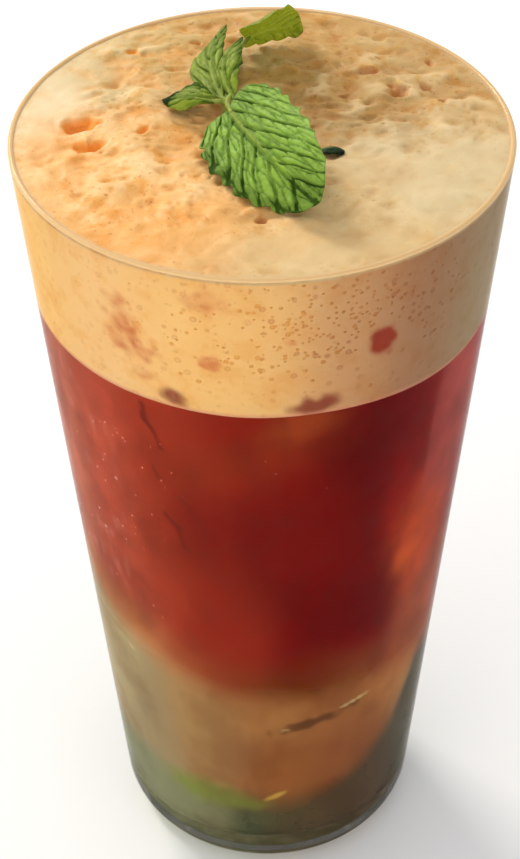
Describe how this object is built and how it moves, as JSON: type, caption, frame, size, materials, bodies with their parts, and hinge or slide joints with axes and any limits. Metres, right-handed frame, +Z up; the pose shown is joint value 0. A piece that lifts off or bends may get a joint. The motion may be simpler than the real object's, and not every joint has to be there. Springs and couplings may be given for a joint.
{
  "type": "espresso soda in a tumbler",
  "caption": "Layered iced espresso soda in a tapered clear tumbler, topped with thick foam and a sprig of mint.",
  "frame": {"origin": "centre of the tumbler's foot on the table", "axes": "+Z up along the tumbler's axis, -Y towards the front as shown, +X to the right"},
  "size_m": [0.0799, 0.0798, 0.1582],
  "materials": {
    "clear_glass": "clear polished",
    "coffee_foam": "matte froth, stands in for foam",
    "espresso": "dark liquid",
    "soda": "cloudy liquid",
    "mint_leaf": "quilted leaf, stands in for mint"
  },
  "bodies": {
    "root": {"glass": "clear_glass", "foam": "coffee_foam", "espresso": "espresso", "soda": "soda", "mint_sprig": "mint_leaf", "mint_tip": "mint_leaf"}
  },
  "joints": []
}
